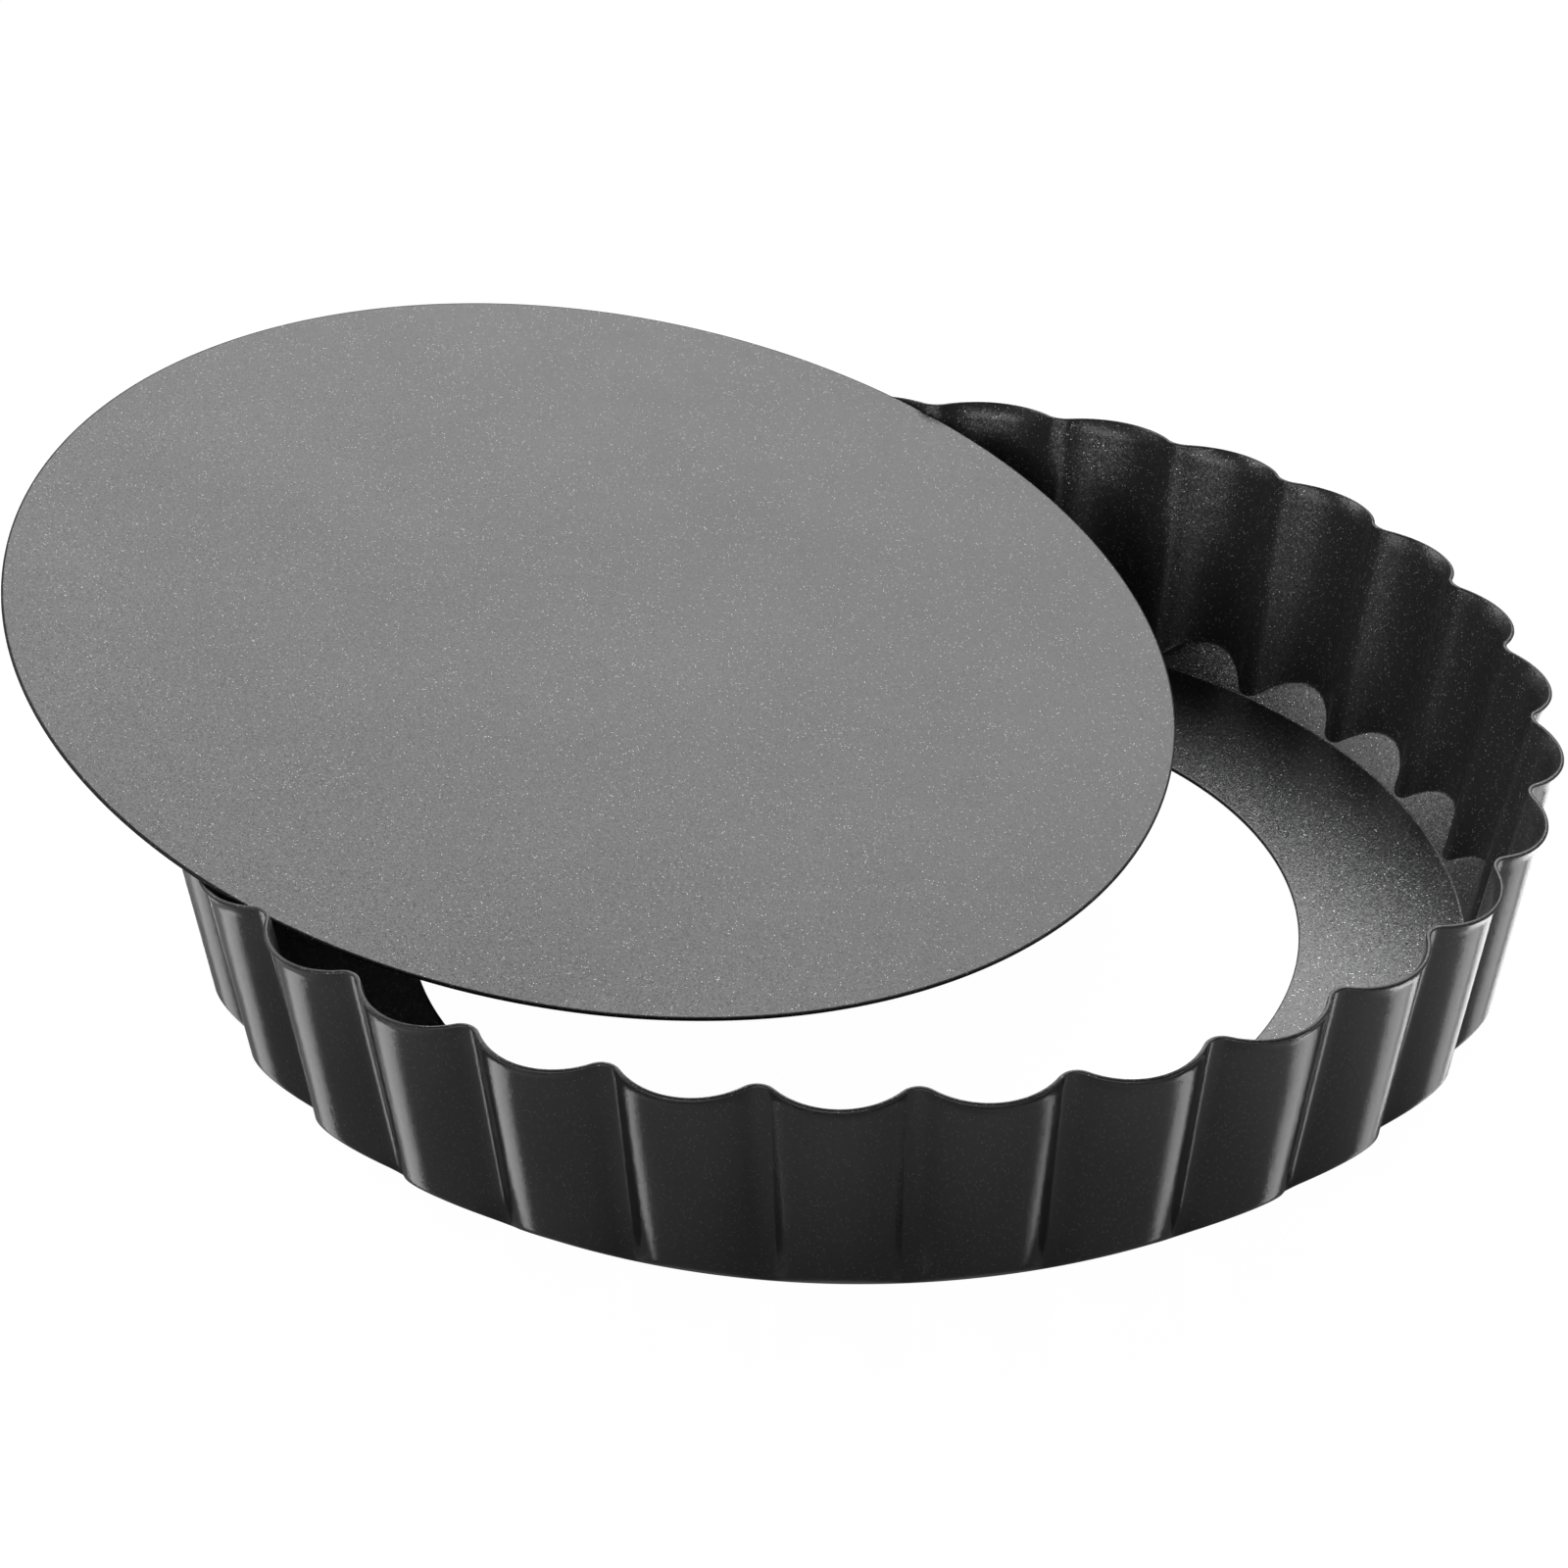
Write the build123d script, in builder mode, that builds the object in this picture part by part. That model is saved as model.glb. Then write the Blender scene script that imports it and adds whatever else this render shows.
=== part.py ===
# Loose-base fluted tart pan, nominal 20 cm across the rim and 3.5 cm deep.
# Origin: on the ring's axis, in the plane of the table it stands on. +Z up. Millimetres.
# fluted_ring is one pressing: fluted wall, sloping foot under each flute, and flat ledge.
# loose_base is the flat disc, leaning across the ring's rim with its low side inside.
import os
from math import atan2, cos, hypot, pi, radians, sin, sqrt, tan

from build123d import *

# Ring
rim_diameter = 200.0         # over the flute crests, outer skin
ring_height = 36.0           # table to the rim at the flute valleys
ring_sheet = 0.6             # sheet thickness, coating included
flute_count = 30
flute_depth = 3.97           # valley to crest, across the sheet's middle
valley_fillet = 2.7          # radius of the inward fold between two flutes, in the sheet's middle
wall_lean = 10.9             # degrees outwards from upright
rim_fall = 0.74              # how much lower the rim is at the crests than in the valleys
flute_phase = 81.88          # azimuth of one flute valley, degrees

# Foot and ledge
foot_slope = 40.0            # degrees from level: each flute's foot rises outwards to its wall
foot_land = 0.3              # from the foot's start out to where the flute valleys meet the ledge
ledge_width = 24.0           # from the foot's start in to the hole

# Loose base
base_side_gap = 2.05         # between the seated base's edge and the foot
base_thickness = 0.6
base_edge_radius = 0.12      # the cut edge is barely rounded

# How the base leans on the ring
lean_tilt = 11.74            # degrees from level
lean_uphill = 146.5          # azimuth in which the base rises, degrees
lean_offset = 44.5           # plan distance from the ring's axis to the base's centre
lean_offset_azimuth = 147.5  # direction of that distance, degrees
lean_gap = 0.12              # clearance left between the base and the rim
rim_steps_per_flute = 24     # how finely the rim is walked when the base is laid on it

half_sheet = ring_sheet / 2
half_pitch = pi / flute_count
rim_crest = rim_diameter / 2 - half_sheet
ledge_top = ring_sheet
past = 5.0                   # how far cutting shapes run beyond what they cut


def crest_at(height):
    """Radius of the flute crests, in the sheet's middle, at a height above the table."""
    return rim_crest - (ring_height - height) * tan(radians(wall_lean))


foot_start = crest_at(ledge_top) - flute_depth - half_sheet - foot_land
ledge_hole_radius = foot_start - ledge_width
base_radius = foot_start - base_side_gap


def flute_arcs(height, offset):
    """One flute's two arcs at a height, on a skin offset outwards from the sheet's middle.

    Returns the crest arc's centre distance and radius, and the valley fillet's.
    """
    crest = crest_at(height) + offset
    valley = crest - flute_depth
    fillet_r = valley_fillet - offset
    fillet_centre = valley + fillet_r
    gap = crest + fillet_r - fillet_centre * cos(half_pitch)
    spread = crest**2 + fillet_centre**2 - 2 * crest * fillet_centre * cos(half_pitch)
    crest_r = (spread - fillet_r**2) / (2 * gap)
    return crest - crest_r, crest_r, fillet_centre, fillet_r


def polar(radius, angle):
    return (radius * cos(angle), radius * sin(angle))


def flute_outline(height, offset):
    """Closed outline of all the flutes: crest arcs and valley fillets, tangent to each other."""
    crest_centre, crest_r, fillet_centre, fillet_r = flute_arcs(height, offset)
    for flute in range(flute_count):
        valley = radians(flute_phase) + 2 * half_pitch * flute
        crest = valley + half_pitch
        joins = []
        for side in (-1, 1):
            cx, cy = polar(crest_centre, crest)
            fx, fy = polar(fillet_centre, crest + side * half_pitch)
            share = crest_r / (crest_r + fillet_r)
            joins.append((cx + (fx - cx) * share, cy + (fy - cy) * share))
        ThreePointArc(joins[0], polar(crest_centre + crest_r, crest), joins[1])
        fx, fy = polar(fillet_centre, crest + half_pitch)
        turn = atan2(joins[1][1] - fy, joins[1][0] - fx) - (crest + half_pitch)
        after = crest + half_pitch - turn
        ThreePointArc(
            joins[1],
            polar(fillet_centre - fillet_r, crest + half_pitch),
            (fx + fillet_r * cos(after), fy + fillet_r * sin(after)),
        )


def rim_radius(angle, offset):
    """Radius of the rim at an azimuth in radians, on a skin offset outwards."""
    crest_centre, crest_r, fillet_centre, fillet_r = flute_arcs(ring_height, offset)
    from_valley = abs((angle - radians(flute_phase) + half_pitch) % (2 * half_pitch) - half_pitch)
    from_crest = half_pitch - from_valley
    share = crest_r / (crest_r + fillet_r)
    join_x = crest_centre * cos(half_pitch) * (1 - share) + fillet_centre * share
    join_y = crest_centre * sin(half_pitch) * (1 - share)
    if from_valley >= atan2(join_y, join_x):
        return crest_centre * cos(from_crest) + sqrt(crest_r**2 - (crest_centre * sin(from_crest))**2)
    return fillet_centre * cos(from_valley) - sqrt(fillet_r**2 - (fillet_centre * sin(from_valley))**2)


def rim_level(radius):
    """Height of the rim above the table at a radius: it falls towards the crests."""
    return ring_height - rim_fall * (radius - (rim_crest - flute_depth)) / flute_depth


def foot_outline(skin):
    """Closed half section up to a skin: ledge, sloping foot and a line that stays outside the wall.

    skin is 0 for the inner skin and ring_sheet for the outer one, which the rim's cut closes.
    """
    bottom = ledge_top - skin
    start = foot_start + skin * tan(radians(foot_slope) / 2)
    past_rim = rim_crest + past
    before_rim = rim_crest - flute_depth - past
    clear = 0 if skin else past
    Polyline(
        (0, bottom),
        (start, bottom),
        (past_rim, bottom + (past_rim - start) * tan(radians(foot_slope))),
        (past_rim, rim_level(past_rim) + clear),
        (before_rim, rim_level(before_rim) + clear),
        (0, rim_level(before_rim) + clear),
        (0, bottom),
    )


def filled_to_skin(skin):
    """The solid that fills the pan up to one skin: the fluted cone, trimmed by the foot's section."""
    offset = skin - half_sheet
    with BuildPart() as filled:
        for height in (-past, ring_height + 2 * past):
            with BuildSketch(Plane.XY.offset(height)):
                with BuildLine():
                    flute_outline(height, offset)
                make_face()
        loft(ruled=True)
        with BuildSketch(Plane.XZ):
            with BuildLine():
                foot_outline(skin)
            make_face()
        revolve(axis=Axis.Z, mode=Mode.INTERSECT)
    return filled.part


def rest_height(plan_x, plan_y):
    """Height of the leaning base's centre at which its underside just clears the rim."""
    rise = tan(radians(lean_tilt))
    uphill = polar(1, radians(lean_uphill))
    lift = (base_thickness / 2 + lean_gap) / cos(radians(lean_tilt))
    needed = []
    for skin in (-half_sheet, half_sheet):
        for step in range(flute_count * rim_steps_per_flute):
            angle = 2 * half_pitch * step / rim_steps_per_flute
            radius = rim_radius(angle, skin)
            dx, dy = radius * cos(angle) - plan_x, radius * sin(angle) - plan_y
            along = dx * uphill[0] + dy * uphill[1]
            across = dy * uphill[0] - dx * uphill[1]
            if hypot(along / cos(radians(lean_tilt)), across) < base_radius + lean_gap:
                needed.append(rim_level(radius) + lift - rise * along)
    return max(needed)


# Fluted ring: what the outer skin holds, less what the inner skin holds, with the ledge's hole cut.
whole_pan = filled_to_skin(ring_sheet)
pan_inside = filled_to_skin(0)
with BuildPart() as fluted_ring:
    add(whole_pan)
    add(pan_inside, mode=Mode.SUBTRACT)
    with BuildSketch(Plane.XY):
        Circle(ledge_hole_radius)
    extrude(amount=ledge_top, mode=Mode.SUBTRACT)

# Loose base: a flat disc, laid on the rim where it crosses it.
base_x, base_y = polar(lean_offset, radians(lean_offset_azimuth))
base_z = rest_height(base_x, base_y)
downhill = radians(lean_uphill + 180)
lean_plane = Plane(
    origin=(base_x, base_y, base_z),
    x_dir=(-sin(downhill), cos(downhill), 0),
    z_dir=(*polar(sin(radians(lean_tilt)), downhill), cos(radians(lean_tilt))),
)
with BuildPart() as loose_base:
    with BuildSketch(lean_plane):
        Circle(base_radius)
    extrude(amount=base_thickness / 2, both=True)
    fillet(loose_base.edges().filter_by(GeomType.CIRCLE), base_edge_radius)

os.makedirs("parts", exist_ok=True)
fluted_ring.part.label = "fluted_ring"
loose_base.part.label = "loose_base"
export_step(fluted_ring.part, "parts/fluted_ring.step")
export_step(loose_base.part, "parts/loose_base.step")
lowest = base_z - base_radius * sin(radians(lean_tilt))
print(f"hole radius {ledge_hole_radius:.3f}, foot start {foot_start:.3f}, base radius {base_radius:.3f}")
print(f"base centre {base_x:.2f} {base_y:.2f} {base_z:.2f}, lowest point {lowest:.2f}")
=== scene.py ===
# Loose-base fluted tart pan in dark coated sheet steel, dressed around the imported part.
# The fluted ring stands on the table, and its flat base leans across the rim with one side inside.
# Metres, +Z up, origin on the ring's axis in the plane of the table.
from math import asin, cos, pi, radians, sin, tan

import bpy
import numpy as np
from mathutils import Matrix, Vector


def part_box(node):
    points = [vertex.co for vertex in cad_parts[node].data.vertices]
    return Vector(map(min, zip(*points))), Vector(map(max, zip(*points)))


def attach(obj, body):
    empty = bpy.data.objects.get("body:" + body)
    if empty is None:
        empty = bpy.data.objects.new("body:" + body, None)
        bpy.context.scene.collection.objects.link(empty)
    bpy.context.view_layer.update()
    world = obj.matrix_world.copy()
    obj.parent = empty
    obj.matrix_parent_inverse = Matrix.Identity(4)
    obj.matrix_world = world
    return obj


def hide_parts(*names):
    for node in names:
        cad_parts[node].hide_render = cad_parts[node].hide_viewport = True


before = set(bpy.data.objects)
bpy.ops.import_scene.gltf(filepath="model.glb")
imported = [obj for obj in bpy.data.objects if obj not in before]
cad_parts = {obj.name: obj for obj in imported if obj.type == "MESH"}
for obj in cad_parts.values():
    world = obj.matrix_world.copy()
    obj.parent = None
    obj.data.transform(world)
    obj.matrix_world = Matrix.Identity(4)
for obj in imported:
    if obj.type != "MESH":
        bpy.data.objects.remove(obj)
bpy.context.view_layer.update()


# --- Fluted ring --------------------------------------------------------------------------------
# One pressing in 0.6 mm sheet steel: the fluted wall, a sloping foot under each flute, and the flat
# ledge that carries the base. Its rim and hole are sheared, then it is coated all over, edges too.
MM = 0.001
SHEET = 0.6 * MM
HALF_SHEET = SHEET / 2
FLUTES = 30
HALF_PITCH = pi / FLUTES
FLUTE_PHASE = radians(81.88)      # azimuth of one valley between two flutes
FLUTE_DEPTH = 3.97 * MM
VALLEY_FILLET = 2.7 * MM          # radius of the inward fold between two flutes
RIM_CREST = 99.99 * MM - HALF_SHEET
RIM_HEIGHT = 36.0 * MM            # at the valleys
RIM_FALL = 0.74 * MM              # how much lower the rim is at the crests
WALL_RUN = tan(radians(10.9))     # the wall's reach outwards for its rise
LIP_HEIGHT = 2.2 * MM             # the wall curls outwards over its last few millimetres
LIP_FLARE = 0.8 * MM              # on the crests; the valleys stay straight
HOLE_RADIUS = 64.313 * MM
FOOT_START = 88.313 * MM
FOOT_SLOPE = radians(40)
FOOT_CREASE = 0.9 * MM            # bend from the ledge into the foot
FOOT_CORNER = 1.8 * MM            # bend from the foot into the wall
CORNER_ROOM = 1.1                 # most that bend may be, for the length of the foot

FILLET_COLUMNS = 6                # mesh columns over half a valley's fillet
CREST_COLUMNS = 10                # and over half a crest
CREASE_ROWS = 5                   # mesh rows around the bend from the ledge into the foot
CORNER_ROWS = 7                   # and around the bend from the foot into the wall
WALL_ROWS = (0.02, 0.25, 0.5, 0.75, 1)       # shares of the straight wall's length
LIP_ROWS = (0.2, 0.4, 0.6, 0.8, 0.92, 1)     # shares of the lip's height
RING_EDGE_ROWS = 5                # mesh rows around a sheared edge
EDGE_SQUARENESS = 0.6             # 1 is a round edge, less is squarer
SUPPORT = 0.3 * MM                # rows this close to a bend keep the flat beside it flat
SUPPORT_MOST = 0.3                # the most of a short flat that such a row may take


def flute_arcs(crest):
    """Centre distance and radius of the crest arc, and centre distance of the valley's fillet."""
    fillet_centre = crest - FLUTE_DEPTH + VALLEY_FILLET
    gap = crest + VALLEY_FILLET - fillet_centre * cos(HALF_PITCH)
    spread = crest**2 + fillet_centre**2 - 2 * crest * fillet_centre * cos(HALF_PITCH)
    crest_arc = (spread - VALLEY_FILLET**2) / (2 * gap)
    return crest - crest_arc, crest_arc, fillet_centre


def flute_radius(azimuth, crest):
    """Radius of the fluted outline whose crests lie at a radius: arcs tangent to each other."""
    crest_centre, crest_arc, fillet_centre = flute_arcs(crest)
    from_valley = np.abs((azimuth - FLUTE_PHASE + HALF_PITCH) % (2 * HALF_PITCH) - HALF_PITCH)
    from_crest = HALF_PITCH - from_valley
    share = crest_arc / (crest_arc + VALLEY_FILLET)
    join_x = crest_centre * cos(HALF_PITCH) * (1 - share) + fillet_centre * share
    join_y = crest_centre * sin(HALF_PITCH) * (1 - share)
    crest_reach = np.maximum(crest_arc**2 - (crest_centre * np.sin(from_crest)) ** 2, 0)
    fillet_reach = np.maximum(VALLEY_FILLET**2 - (fillet_centre * np.sin(from_valley)) ** 2, 0)
    on_crest = crest_centre * np.cos(from_crest) + np.sqrt(crest_reach)
    on_fillet = fillet_centre * np.cos(from_valley) - np.sqrt(fillet_reach)
    return np.where(from_valley >= np.arctan2(join_y, join_x), on_crest, on_fillet)


def flute_columns():
    """Azimuths of the ring's mesh columns, spread evenly along the turn of each arc."""
    crest_centre, crest_arc, fillet_centre = flute_arcs(RIM_CREST)
    half_turn = asin(fillet_centre * sin(HALF_PITCH) / (crest_arc + VALLEY_FILLET))
    turn = np.linspace(0, half_turn - HALF_PITCH, FILLET_COLUMNS, endpoint=False)
    in_fillet = np.arctan2(VALLEY_FILLET * np.sin(turn), fillet_centre - VALLEY_FILLET * np.cos(turn))
    turn = np.linspace(half_turn, 0, CREST_COLUMNS + 1)
    from_crest = np.arctan2(crest_arc * np.sin(turn), crest_centre + crest_arc * np.cos(turn))
    in_crest = HALF_PITCH - from_crest
    rising = np.concatenate([in_fillet, in_crest])
    one_flute = np.concatenate([rising, 2 * HALF_PITCH - rising[-2:0:-1]])
    valleys = FLUTE_PHASE + 2 * HALF_PITCH * np.arange(FLUTES)
    return (valleys[:, None] + one_flute).ravel()


def straight_rows(start, end):
    """Rows inside a straight stretch of the section: one close to each end, and one between."""
    length = np.linalg.norm(end - start, axis=0)
    near = np.minimum(SUPPORT / length, SUPPORT_MOST)
    return [start + (end - start) * share for share in (near, 0.5, 1 - near)]


def bend_rows(before, corner, after, bend, steps):
    """Rows around one rounded corner of the section, given the points on both sides of it."""
    into = (corner - before) / np.linalg.norm(corner - before, axis=0)
    out = (after - corner) / np.linalg.norm(after - corner, axis=0)
    turn = np.arccos((into * out).sum(axis=0))
    start = corner - bend * np.tan(turn / 2) * into
    side = np.stack([-into[1], into[0]])
    shares = np.linspace(0, 1, steps)
    return [start + bend * (np.sin(turn * u) * into + (1 - np.cos(turn * u)) * side) for u in shares]


def ring_section(azimuth):
    """Rows of (radius, height) in the sheet's middle, from the hole over the foot to the rim."""
    level = np.full_like(azimuth, HALF_SHEET)
    hole = np.stack([np.full_like(azimuth, HOLE_RADIUS + HALF_SHEET), level])
    crease = np.stack([np.full_like(azimuth, FOOT_START + HALF_SHEET * tan(FOOT_SLOPE / 2)), level])

    fall = RIM_FALL * (flute_radius(azimuth, RIM_CREST) - RIM_CREST + FLUTE_DEPTH) / FLUTE_DEPTH
    rim_level = RIM_HEIGHT - fall - HALF_SHEET
    rim_radius = flute_radius(azimuth, RIM_CREST - (RIM_HEIGHT - rim_level) * WALL_RUN)
    flare = LIP_FLARE * fall / RIM_FALL
    rim = np.stack([rim_radius - flare, rim_level])
    foot_crest = RIM_CREST - (RIM_HEIGHT - HALF_SHEET) * WALL_RUN
    wall_foot = np.stack([flute_radius(azimuth, foot_crest), level])
    wall_run = (rim[0] - wall_foot[0]) / (rim[1] - wall_foot[1])
    foot_rise = (wall_foot[0] - crease[0]) / (1 / tan(FOOT_SLOPE) - wall_run)
    corner = np.stack([wall_foot[0] + wall_run * foot_rise, level + foot_rise])

    foot_length = foot_rise / sin(FOOT_SLOPE)
    corner_size = np.minimum(FOOT_CORNER, foot_length * CORNER_ROOM)
    crease_bend = bend_rows(hole, crease, corner, FOOT_CREASE, CREASE_ROWS)
    corner_bend = bend_rows(crease, corner, rim, corner_size, CORNER_ROWS)
    rows = [hole] + straight_rows(hole, crease_bend[0])
    rows += crease_bend + straight_rows(crease_bend[-1], corner_bend[0]) + corner_bend
    lip_start = rim - (rim - corner) * LIP_HEIGHT / (rim[1] - corner[1])
    for share in WALL_ROWS:
        rows.append(corner_bend[-1] + (lip_start - corner_bend[-1]) * share)
    for share in LIP_ROWS:
        row = lip_start + (rim - lip_start) * share
        row[0] += flare * share**2
        rows.append(row)
    return np.stack(rows)


def sheared_edge(steps):
    """Half outline of a sheared, coated sheet edge, as (across, out) shares of half the sheet."""
    outline = []
    for angle in np.linspace(0, pi, steps + 2)[1:-1]:
        across = np.sign(cos(angle)) * abs(cos(angle)) ** EDGE_SQUARENESS
        outline.append((across, sin(angle) ** EDGE_SQUARENESS))
    return outline


COOKING_SIDE, OUTER_SIDE, CUT_EDGE = 0, 1, 2     # material slots
TINY = 1e-12                      # keeps a length of nothing from being divided by


def sheet_mesh(name, section, azimuth):
    """Closed mesh of a sheet of even thickness around its middle, with a rounded edge at both ends."""
    radius, height = section[:, 0], section[:, 1]
    middle = np.stack([radius * np.cos(azimuth), radius * np.sin(azimuth), height], axis=-1)
    around = np.roll(middle, -1, axis=1) - np.roll(middle, 1, axis=1)
    before = np.concatenate([middle[:1], middle[:-1]])
    after = np.concatenate([middle[1:], middle[-1:]])
    step_in = middle - before
    step_out = after - middle
    length_in = np.linalg.norm(step_in, axis=-1, keepdims=True)
    length_out = np.linalg.norm(step_out, axis=-1, keepdims=True)
    along = step_in / np.maximum(length_in, TINY) + step_out / np.maximum(length_out, TINY)
    normal = np.cross(along, around)
    normal /= np.linalg.norm(normal, axis=-1, keepdims=True)
    edge = sheared_edge(RING_EDGE_ROWS)
    rim_out = step_in[-1] / length_in[-1]
    hole_out = -step_out[0] / length_out[0]
    loops = [m + HALF_SHEET * n for m, n in zip(middle, normal)]
    loops += [middle[-1] + HALF_SHEET * (across * normal[-1] + out * rim_out) for across, out in edge]
    loops += [m - HALF_SHEET * n for m, n in zip(middle[::-1], normal[::-1])]
    loops += [middle[0] + HALF_SHEET * (-across * normal[0] + out * hole_out) for across, out in edge]
    kinds = [COOKING_SIDE] * (len(middle) - 1) + [CUT_EDGE] * (len(edge) + 1)
    kinds += [OUTER_SIDE] * (len(middle) - 1) + [CUT_EDGE] * (len(edge) + 1)

    points = np.concatenate(loops)
    columns = np.arange(len(azimuth))
    after_column = np.roll(columns, -1)
    faces = []
    for loop in range(len(loops)):
        a = loop * len(azimuth)
        b = (loop + 1) % len(loops) * len(azimuth)
        faces.append(np.stack([a + columns, b + columns, b + after_column, a + after_column], axis=-1))
    mesh = bpy.data.meshes.new(name)
    mesh.from_pydata(points.tolist(), [], np.concatenate(faces).tolist())
    mesh.polygons.foreach_set("material_index", np.repeat(kinds, len(azimuth)).astype(np.int32))
    mesh.shade_smooth()
    return mesh


azimuth = flute_columns()
ring_mesh = sheet_mesh("pan_ring", ring_section(azimuth), azimuth)
ring = bpy.data.objects.new("pan_ring", ring_mesh)
bpy.context.scene.collection.objects.link(ring)


def add_node(tree, kind, sockets=None, **options):
    """A node of a kind with its options set; each socket takes a value or a link from an output."""
    node = tree.nodes.new(kind)
    for name, value in options.items():
        setattr(node, name, value)
    for name, value in (sockets or {}).items():
        if isinstance(value, bpy.types.NodeSocket):
            tree.links.new(value, node.inputs[name])
        else:
            node.inputs[name].default_value = value
    return node


def math_node(tree, operation, first, second):
    """The output of a Math node, given two values or links."""
    return add_node(tree, "ShaderNodeMath", {0: first, 1: second}, operation=operation).outputs[0]


def new_group(name, inputs, outputs):
    """A shader node group with named number inputs and named outputs; returns it and its two ends."""
    group = bpy.data.node_groups.new(name, "ShaderNodeTree")
    for label, value in inputs.items():
        socket = group.interface.new_socket(label, in_out="INPUT", socket_type="NodeSocketFloat")
        socket.default_value = value
    for label, kind in outputs.items():
        group.interface.new_socket(label, in_out="OUTPUT", socket_type=kind)
    return group, group.nodes.new("NodeGroupInput").outputs, group.nodes.new("NodeGroupOutput").inputs


FLAKES_PER_METRE = 5600.0
FLAKE_SOLID = 0.3                 # a flake is solid up to here from its middle, in cells
FLAKE_EDGE = 0.55                 # and has faded out by here
FLAKE_CONTRAST = 0.8              # below 1 makes the weaker flakes stronger
MIDDLE_GREY = (0.5, 0.5, 0.5)     # the average of the cells' random colours


def metal_fleck_group():
    """Flakes of metal in a coating: a mask of light flakes, one of dark specks, and tilted facets."""
    group, given, made = new_group(
        "metal_fleck",
        {"Flakes per Metre": FLAKES_PER_METRE, "Light Share": 0.05, "Dark Share": 0.15, "Tilt": 0.2},
        {"Light": "NodeSocketFloat", "Dark": "NodeSocketFloat", "Facet": "NodeSocketVector"},
    )
    place = add_node(group, "ShaderNodeTexCoord").outputs["Object"]
    cells = add_node(group, "ShaderNodeTexVoronoi", {"Vector": place, "Scale": given["Flakes per Metre"]})
    chance = add_node(group, "ShaderNodeSeparateColor", {"Color": cells.outputs["Color"]}).outputs
    flake = add_node(
        group, "ShaderNodeMapRange",
        {
            "Value": cells.outputs["Distance"], "From Min": FLAKE_EDGE, "From Max": FLAKE_SOLID,
            "To Min": 0.0, "To Max": 1.0,
        },
    ).outputs["Result"]
    chosen = add_node(
        group, "ShaderNodeMapRange",
        {
            "Value": chance["Red"], "From Min": given["Light Share"], "From Max": 0.0,
            "To Min": 0.0, "To Max": 1.0,
        },
    ).outputs["Result"]
    light = math_node(group, "POWER", chosen, FLAKE_CONTRAST)
    dark = math_node(group, "LESS_THAN", chance["Green"], given["Dark Share"])
    group.links.new(math_node(group, "MULTIPLY", light, flake), made["Light"])
    group.links.new(math_node(group, "MULTIPLY", dark, flake), made["Dark"])
    centred = add_node(
        group, "ShaderNodeVectorMath", {0: cells.outputs["Color"], 1: MIDDLE_GREY}, operation="SUBTRACT"
    ).outputs["Vector"]
    leaning = add_node(
        group, "ShaderNodeVectorMath", {0: centred, "Scale": given["Tilt"]}, operation="SCALE"
    ).outputs["Vector"]
    skin = add_node(group, "ShaderNodeNewGeometry").outputs["Normal"]
    facet = add_node(group, "ShaderNodeVectorMath", {0: skin, 1: leaning}, operation="ADD").outputs["Vector"]
    facet = add_node(group, "ShaderNodeVectorMath", {0: facet}, operation="NORMALIZE").outputs["Vector"]
    group.links.new(facet, made["Facet"])
    return group


PEEL_PER_METRE = 2600.0           # how fine the orange peel is
DRIFT_PER_METRE = 30.0            # how slowly the film's thickness drifts


def coat_film_group():
    """The cured film itself: orange peel height, and slow drifts in its thickness and its gloss."""
    group, given, made = new_group(
        "coat_film",
        {"Peel per Metre": PEEL_PER_METRE, "Drift per Metre": DRIFT_PER_METRE},
        {"Peel": "NodeSocketFloat", "Drift": "NodeSocketFloat"},
    )
    place = add_node(group, "ShaderNodeTexCoord").outputs["Object"]
    peel = add_node(
        group, "ShaderNodeTexNoise",
        {"Vector": place, "Scale": given["Peel per Metre"], "Detail": 2.0, "Roughness": 0.5},
    )
    drift = add_node(
        group, "ShaderNodeTexNoise",
        {"Vector": place, "Scale": given["Drift per Metre"], "Detail": 3.0, "Roughness": 0.55},
    )
    group.links.new(peel.outputs["Fac"], made["Peel"])
    group.links.new(drift.outputs["Fac"], made["Drift"])
    return group


metal_fleck = metal_fleck_group()
coat_film = coat_film_group()
THIN_FILM, THICK_FILM = 0.3, 0.7  # the drift's usual reach


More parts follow.
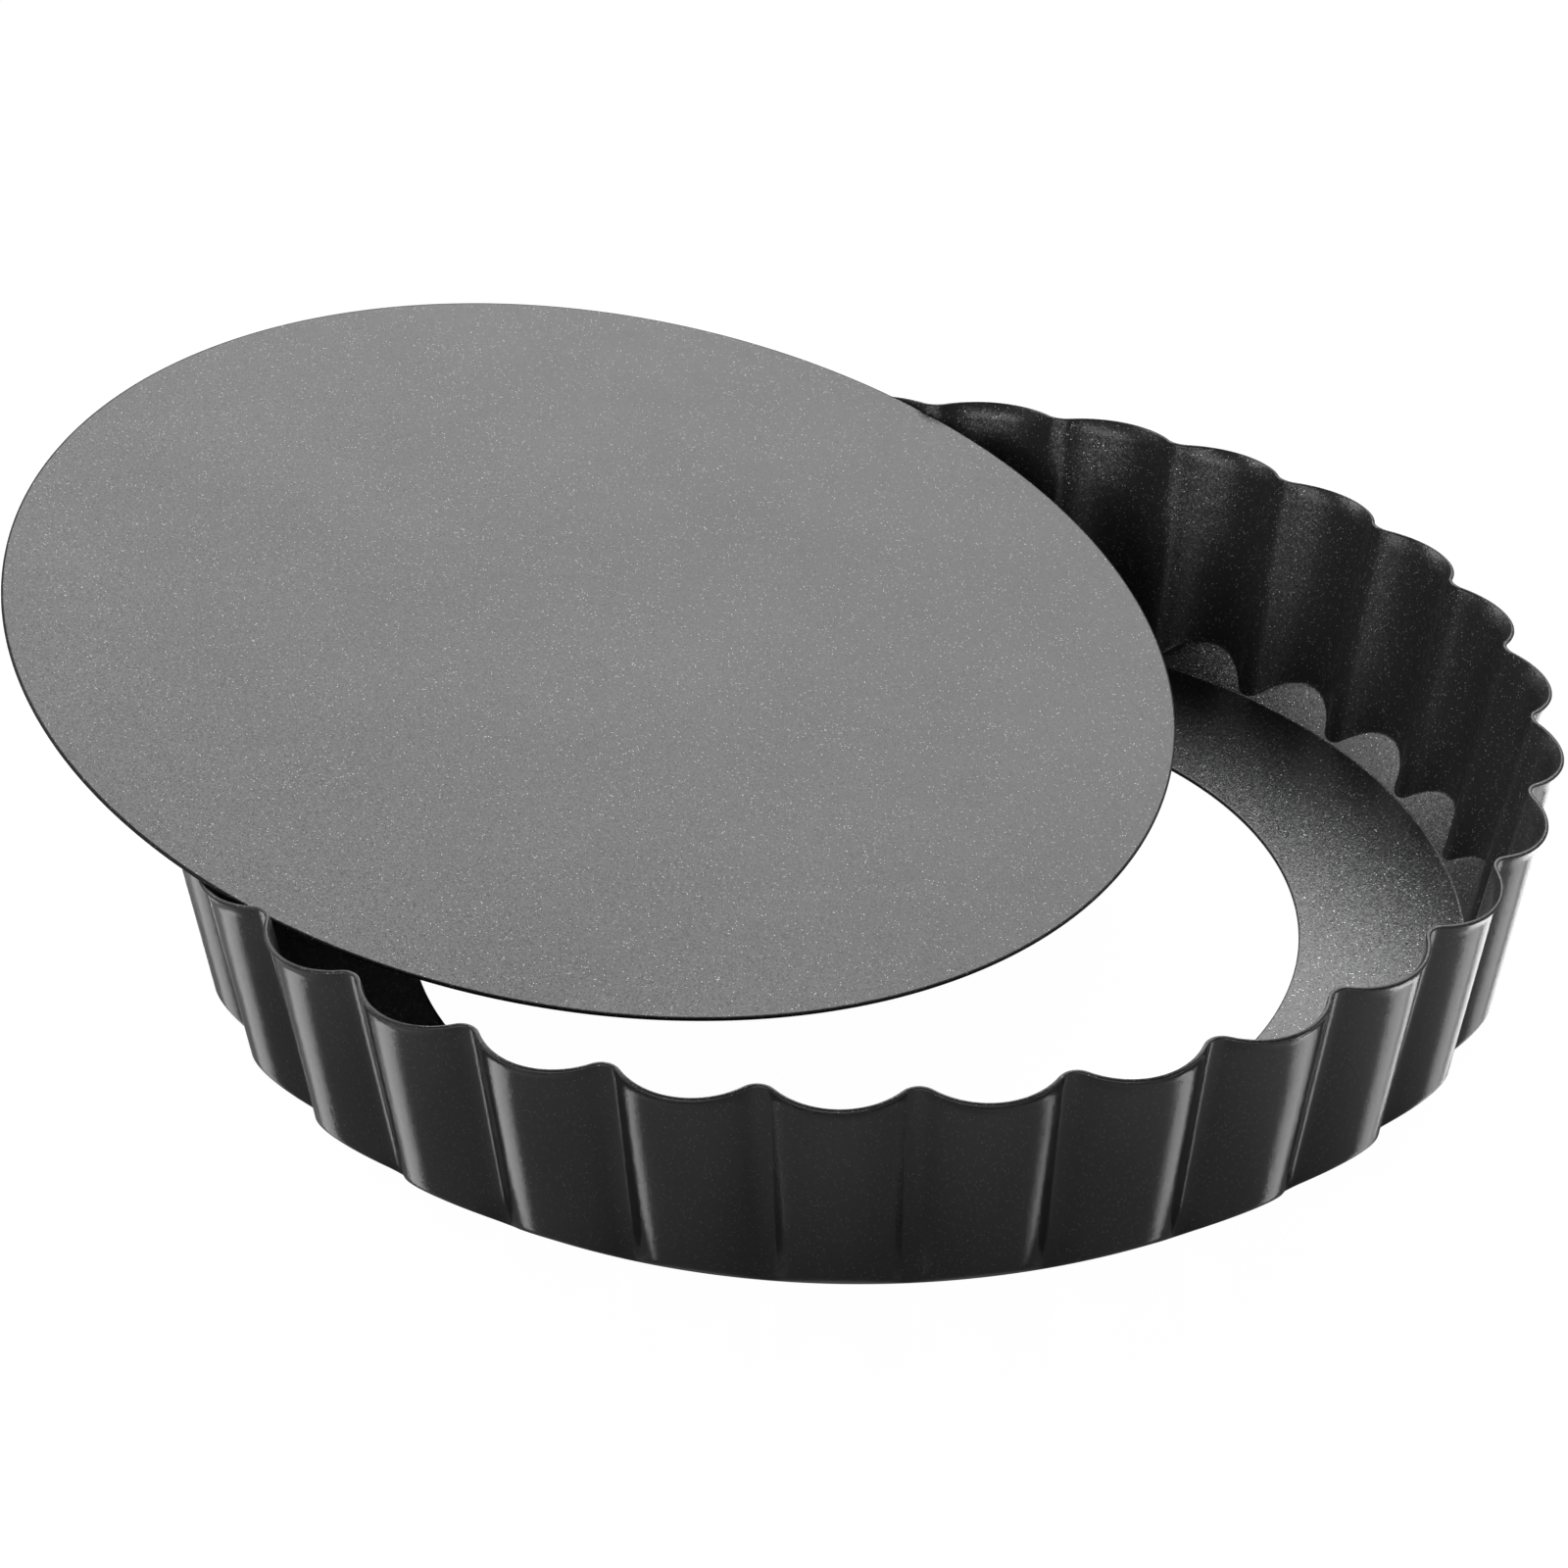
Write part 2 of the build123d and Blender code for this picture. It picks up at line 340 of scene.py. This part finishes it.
def coating(
    name, colour, fleck_colour, speck_colour, gloss, ior, light_share, dark_share, tilt, shine, peel_depth
):
    """A cured non-stick coating: dark film with metal flakes, orange peel and slow drifts.

    gloss is the roughness at the two ends of the drift, shine the flakes' metallic share, and
    peel_depth the orange peel's depth in metres.
    """
    material = bpy.data.materials.new(name)
    material.use_nodes = True
    tree = material.node_tree
    tree.nodes.clear()
    fleck = add_node(
        tree, "ShaderNodeGroup",
        {
            "Flakes per Metre": FLAKES_PER_METRE, "Light Share": light_share, "Dark Share": dark_share,
            "Tilt": tilt,
        },
        node_tree=metal_fleck,
    )
    film = add_node(
        tree, "ShaderNodeGroup", {"Peel per Metre": PEEL_PER_METRE, "Drift per Metre": DRIFT_PER_METRE},
        node_tree=coat_film,
    )
    specked = add_node(
        tree, "ShaderNodeMix", {0: fleck.outputs["Dark"], 6: colour, 7: speck_colour}, data_type="RGBA"
    ).outputs[2]
    paint = add_node(
        tree, "ShaderNodeMix", {0: fleck.outputs["Light"], 6: specked, 7: fleck_colour}, data_type="RGBA"
    ).outputs[2]
    rough = add_node(
        tree, "ShaderNodeMapRange",
        {
            "Value": film.outputs["Drift"], "From Min": THIN_FILM, "From Max": THICK_FILM,
            "To Min": gloss[0], "To Max": gloss[1],
        },
    ).outputs["Result"]
    metal = math_node(tree, "MULTIPLY", fleck.outputs["Light"], shine)
    bump = add_node(
        tree, "ShaderNodeBump",
        {
            "Height": film.outputs["Peel"], "Distance": peel_depth, "Strength": 1.0,
            "Normal": fleck.outputs["Facet"],
        },
    ).outputs["Normal"]
    shader = add_node(
        tree, "ShaderNodeBsdfPrincipled",
        {"Base Color": paint, "Roughness": rough, "Metallic": metal, "Normal": bump, "IOR": ior},
    )
    add_node(tree, "ShaderNodeOutputMaterial", {"Surface": shader.outputs["BSDF"]})
    return material


ring_inside = coating(
    "ring_cooking_coat", colour=(0.02, 0.02, 0.021, 1), fleck_colour=(0.75, 0.75, 0.76, 1),
    speck_colour=(0.006, 0.006, 0.006, 1), gloss=(0.32, 0.36), ior=1.55, light_share=0.06, dark_share=0.15,
    tilt=0.22, shine=0.8, peel_depth=0.012 * MM,
)
ring_outside = coating(
    "ring_outer_coat", colour=(0.008, 0.008, 0.0085, 1), fleck_colour=(0.09, 0.09, 0.092, 1),
    speck_colour=(0.004, 0.004, 0.004, 1), gloss=(0.15, 0.19), ior=1.7, light_share=0.08, dark_share=0.1,
    tilt=0.06, shine=0.3, peel_depth=0.004 * MM,
)
ring_edge = coating(
    "ring_sheared_edge", colour=(0.01, 0.01, 0.0105, 1), fleck_colour=(0.3, 0.3, 0.3, 1),
    speck_colour=(0.008, 0.008, 0.008, 1), gloss=(0.36, 0.44), ior=1.5, light_share=0.08, dark_share=0.1,
    tilt=0.15, shine=0.8, peel_depth=0.02 * MM,
)
for material in (ring_inside, ring_outside, ring_edge):
    ring_mesh.materials.append(material)
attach(ring, "ring")
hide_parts("fluted_ring")


# --- Loose base ---------------------------------------------------------------------------------
# A flat disc blanked from the same sheet and coated like the ring, sheared edge and all. It is held by
# nothing: here it leans across the rim, low side inside the pan.
BASE_RADIUS = 86.263 * MM
LEAN_TILT = radians(11.74)
LEAN_UPHILL = radians(146.5)
BASE_COLUMNS = 480
BASE_EDGE_ROWS = 7
FACE_ROWS = (0.3, 0.6, 0.85, 0.97)   # shares of the face's radius
base_low, base_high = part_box("loose_base")
base_centre = (base_low + base_high) / 2


def disc_mesh(name):
    """Closed mesh of the flat disc: both faces, and the sheared edge between them."""
    face_end = BASE_RADIUS - HALF_SHEET
    outline = [(face_end * share, HALF_SHEET) for share in FACE_ROWS]
    outline += [(face_end - SUPPORT / 2, HALF_SHEET), (face_end, HALF_SHEET)]
    upper = len(outline)
    edge = sheared_edge(BASE_EDGE_ROWS)
    outline += [(face_end + HALF_SHEET * out, HALF_SHEET * across) for across, out in edge]
    outline += [(r, -z) for r, z in outline[upper - 1::-1]]
    turn = 2 * pi * np.arange(BASE_COLUMNS) / BASE_COLUMNS
    points = [(0, 0, HALF_SHEET), (0, 0, -HALF_SHEET)]
    for r, z in outline:
        points += np.stack([r * np.cos(turn), r * np.sin(turn), np.full_like(turn, z)], axis=-1).tolist()
    kinds = [COOKING_SIDE] * (upper - 1) + [CUT_EDGE] * (len(edge) + 1) + [OUTER_SIDE] * (upper - 1)
    faces, face_kinds = [], []
    last = 2 + (len(outline) - 1) * BASE_COLUMNS
    for k in range(BASE_COLUMNS):
        m = (k + 1) % BASE_COLUMNS
        faces += [(0, 2 + k, 2 + m), (1, last + m, last + k)]
        face_kinds += [COOKING_SIDE, OUTER_SIDE]
        for row, kind in enumerate(kinds):
            a = 2 + row * BASE_COLUMNS
            b = a + BASE_COLUMNS
            faces.append((a + k, b + k, b + m, a + m))
            face_kinds.append(kind)
    mesh = bpy.data.meshes.new(name)
    mesh.from_pydata(points, [], faces)
    mesh.polygons.foreach_set("material_index", face_kinds)
    mesh.shade_smooth()
    return mesh


base_mesh = disc_mesh("pan_base")
uphill = Vector((cos(LEAN_UPHILL), sin(LEAN_UPHILL), 0))
lean = Matrix.Rotation(-LEAN_TILT, 4, Vector((0, 0, 1)).cross(uphill))
base_mesh.transform(Matrix.Translation(base_centre) @ lean)
base = bpy.data.objects.new("pan_base", base_mesh)
bpy.context.scene.collection.objects.link(base)

base_top = coating(
    "base_cooking_coat", colour=(0.026, 0.026, 0.027, 1), fleck_colour=(0.5, 0.5, 0.51, 1),
    speck_colour=(0.005, 0.005, 0.005, 1), gloss=(0.41, 0.44), ior=1.5, light_share=0.045, dark_share=0.2,
    tilt=0.26, shine=0.7, peel_depth=0.012 * MM,
)
base_under = coating(
    "base_outer_coat", colour=(0.009, 0.009, 0.0095, 1), fleck_colour=(0.06, 0.06, 0.062, 1),
    speck_colour=(0.006, 0.006, 0.006, 1), gloss=(0.16, 0.2), ior=1.8, light_share=0.04, dark_share=0.04,
    tilt=0.03, shine=0.3, peel_depth=0.01 * MM,
)
base_edge = coating(
    "base_sheared_edge", colour=(0.01, 0.01, 0.0105, 1), fleck_colour=(0.3, 0.3, 0.3, 1),
    speck_colour=(0.006, 0.006, 0.006, 1), gloss=(0.6, 0.7), ior=1.3, light_share=0.08, dark_share=0.1,
    tilt=0.15, shine=0.8, peel_depth=0.02 * MM,
)
for material in (base_top, base_under, base_edge):
    base_mesh.materials.append(material)
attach(base, "base")
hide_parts("loose_base")


# --- Studio -------------------------------------------------------------------------------------
# A plain pale table top with a little polish, a large soft box high behind the pan, smaller ones at
# both sides and a low card in front. Table and room are seen as white, but return less light.
TABLE_SIZE = 12.0
TABLE_DROP = 0.02 * MM            # keeps the table's face just under the ledge's
TABLE_PALE = (0.66, 0.66, 0.66, 1)
TABLE_POLISH = 0.32               # share of its face that mirrors
POLISH_ROUGHNESS = 0.14
SEEN_LIFT = 0.95                  # share of pure white in what is seen of the table itself
SEEN_WHITE = 1.04                 # a little over 1, so that the mix of the two still reads as white
ROOM_WHITE = (1.0, 1.0, 1.0, 1)
ROOM_LEVEL = 0.08                 # the room's light on the pan; the camera sees it at full white

CAMERA_PLACE = (-0.01024, -0.63310, 0.40408)
CAMERA_PITCH = 31.03              # degrees below level
CAMERA_ROLL = -0.235
CAMERA_LENS = 118.40              # millimetres
CAMERA_SENSOR = 36                # millimetres across
AIM = (0, 0, 0.02)                # the middle of the pan


def soft_box(name, place, aim, width, height, power):
    """A rectangular lamp at a place, turned to an aim; metres and watts."""
    data = bpy.data.lights.new(name, "AREA")
    data.shape = "RECTANGLE"
    data.size, data.size_y, data.energy = width, height, power
    lamp = bpy.data.objects.new(name, data)
    lamp.location = place
    lamp.rotation_euler = (Vector(aim) - Vector(place)).to_track_quat("-Z", "Y").to_euler()
    bpy.context.scene.collection.objects.link(lamp)


soft_box("back_soft_box", (0.35, 1.6, 1.5), AIM, 2.2, 1.5, 52)
soft_box("left_soft_box", (-1.65, 0.66, 1.38), AIM, 0.95, 1.1, 14.5)
soft_box("left_low_card", (-1.45, 1.05, 0.95), AIM, 0.8, 0.5, 3.2)
soft_box("right_soft_box", (1.65, 0.6, 1.5), AIM, 0.9, 1.1, 12)
soft_box("front_card", (-0.45, -1.55, 0.42), (0, 0, 0.03), 2.6, 0.6, 17)

room = bpy.data.worlds.new("studio_room")
room.use_nodes = True
tree = room.node_tree
tree.nodes.clear()
seen = add_node(tree, "ShaderNodeLightPath").outputs["Is Camera Ray"]
strength = add_node(
    tree, "ShaderNodeMapRange", {"Value": seen, "To Min": ROOM_LEVEL, "To Max": 1.0}
).outputs["Result"]
glow = add_node(tree, "ShaderNodeBackground", {"Color": ROOM_WHITE, "Strength": strength})
add_node(tree, "ShaderNodeOutputWorld", {"Surface": glow.outputs["Background"]})
bpy.context.scene.world = room

half_table = TABLE_SIZE / 2
corners = [
    (-half_table, -half_table), (half_table, -half_table), (half_table, half_table), (-half_table, half_table)
]
table_mesh = bpy.data.meshes.new("table")
table_mesh.from_pydata([(x, y, -TABLE_DROP) for x, y in corners], [], [(0, 1, 2, 3)])
table = bpy.data.objects.new("table", table_mesh)
bpy.context.scene.collection.objects.link(table)
table_material = bpy.data.materials.new("pale_table")
table_material.use_nodes = True
tree = table_material.node_tree
tree.nodes.clear()
matt = add_node(tree, "ShaderNodeBsdfDiffuse", {"Color": TABLE_PALE})
polish = add_node(tree, "ShaderNodeBsdfGlossy", {"Color": ROOM_WHITE, "Roughness": POLISH_ROUGHNESS})
top = add_node(
    tree, "ShaderNodeMixShader", {0: TABLE_POLISH, 1: matt.outputs["BSDF"], 2: polish.outputs["BSDF"]}
)
white = add_node(tree, "ShaderNodeEmission", {"Color": ROOM_WHITE, "Strength": SEEN_WHITE})
seen = add_node(tree, "ShaderNodeLightPath").outputs["Is Camera Ray"]
lift = math_node(tree, "MULTIPLY", seen, SEEN_LIFT)
surface = add_node(
    tree, "ShaderNodeMixShader", {0: lift, 1: top.outputs["Shader"], 2: white.outputs["Emission"]}
)
add_node(tree, "ShaderNodeOutputMaterial", {"Surface": surface.outputs["Shader"]})
table_mesh.materials.append(table_material)

camera_data = bpy.data.cameras.new("studio_camera")
camera_data.lens = CAMERA_LENS
camera_data.sensor_width = CAMERA_SENSOR
camera = bpy.data.objects.new("studio_camera", camera_data)
camera.matrix_world = (
    Matrix.Translation(CAMERA_PLACE)
    @ Matrix.Rotation(radians(90 - CAMERA_PITCH), 4, "X")
    @ Matrix.Rotation(radians(CAMERA_ROLL), 4, "Z")
)
bpy.context.scene.collection.objects.link(camera)
bpy.context.scene.camera = camera
bpy.context.scene.view_settings.view_transform = "Standard"
